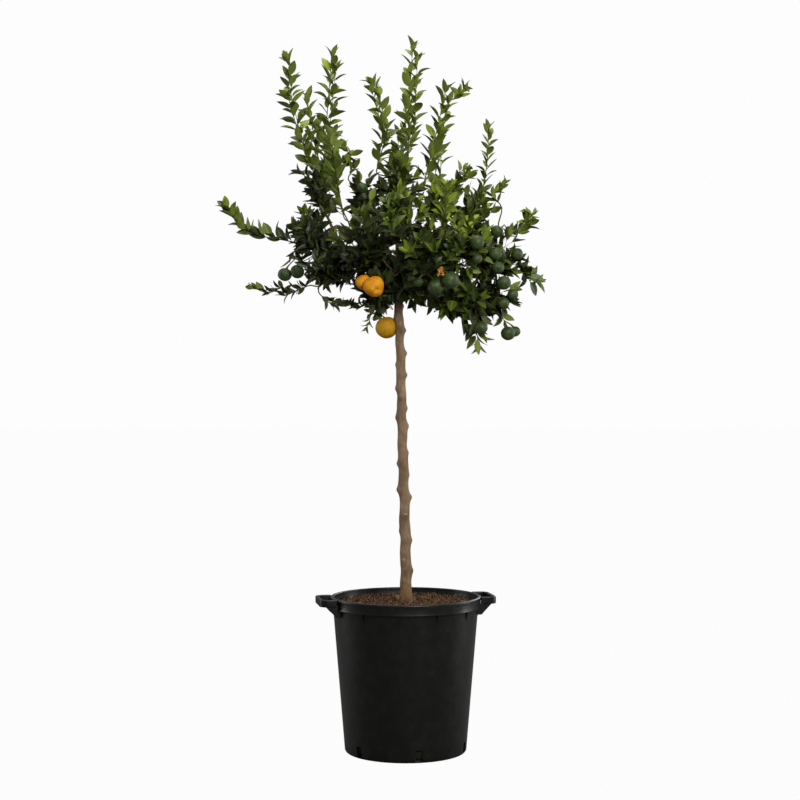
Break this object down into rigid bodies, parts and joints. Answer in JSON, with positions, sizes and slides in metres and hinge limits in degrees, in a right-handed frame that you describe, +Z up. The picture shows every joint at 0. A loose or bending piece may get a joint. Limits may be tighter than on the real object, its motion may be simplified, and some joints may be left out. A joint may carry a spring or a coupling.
{
  "type": "potted citrus standard tree",
  "caption": "Small-leaved citrus trained as a standard: one clear straight stem, a loose crown with long upright shoots and round fruit, in a round black pot with two lug handles.",
  "frame": {"origin": "centre of the pot's flat underside, which is mount base", "axes": "+Z up the stem, -Y the plant's front, +X its right as seen from the front; the handle line is turned 10 degrees from X"},
  "size_m": [0.8158, 0.695, 1.786],
  "materials": {
    "black_plastic": "satin",
    "bark_mulch": "matte",
    "bark": "matte",
    "old_leaves": "satin",
    "young_leaves": "satin"
  },
  "bodies": {
    "root": {"bough_back_left": "bark", "bough_back_right": "bark", "bough_front_left": "bark", "bough_front_right": "bark", "bough_leader": "bark", "bough_left": "bark", "bough_right": "bark", "handle_left": "black_plastic", "handle_right": "black_plastic", "mass_back_lower": "old_leaves", "mass_back_upper": "old_leaves", "mass_front_lower": "old_leaves", "mass_front_upper": "old_leaves", "mass_left_back": "old_leaves", "mass_left_front": "old_leaves", "mass_left_inner_upper": "old_leaves", "mass_left_lower": "old_leaves", "mass_left_middle": "old_leaves", "mass_left_upper": "old_leaves", "mass_right_back": "old_leaves", "mass_right_front": "old_leaves", "mass_right_lower": "old_leaves", "mass_right_middle": "old_leaves", "mass_right_upper": "old_leaves", "mass_stem_front": "old_leaves", "mass_stem_left": "old_leaves", "mass_stem_right": "old_leaves", "mass_top_middle": "old_leaves", "mass_top_right": "old_leaves", "pot": "black_plastic", "root_ball": "bark_mulch", "shoot_back_arching": "young_leaves", "shoot_back_left": "young_leaves", "shoot_back_low": "young_leaves", "shoot_back_middle": "young_leaves", "shoot_back_right": "young_leaves", "shoot_front_arching": "young_leaves", "shoot_front_left": "young_leaves", "shoot_front_right": "young_leaves", "shoot_left_arching": "young_leaves", "shoot_left_hanging": "young_leaves", "shoot_left_inner": "young_leaves", "shoot_left_short": "young_leaves", "shoot_left_side": "young_leaves", "shoot_left_tall": "young_leaves", "shoot_left_whip": "young_leaves", "shoot_low_left": "young_leaves", "shoot_low_outer": "young_leaves", "shoot_low_right": "young_leaves", "shoot_low_whip": "young_leaves", "shoot_right_arching": "young_leaves", "shoot_right_outer": "young_leaves", "shoot_right_short": "young_leaves", "shoot_right_slender": "young_leaves", "shoot_right_upper": "young_leaves", "shoot_top_left": "young_leaves", "shoot_top_middle": "young_leaves", "shoot_top_right": "young_leaves", "shoot_top_side": "young_leaves", "trunk": "bark"}
  },
  "joints": []
}
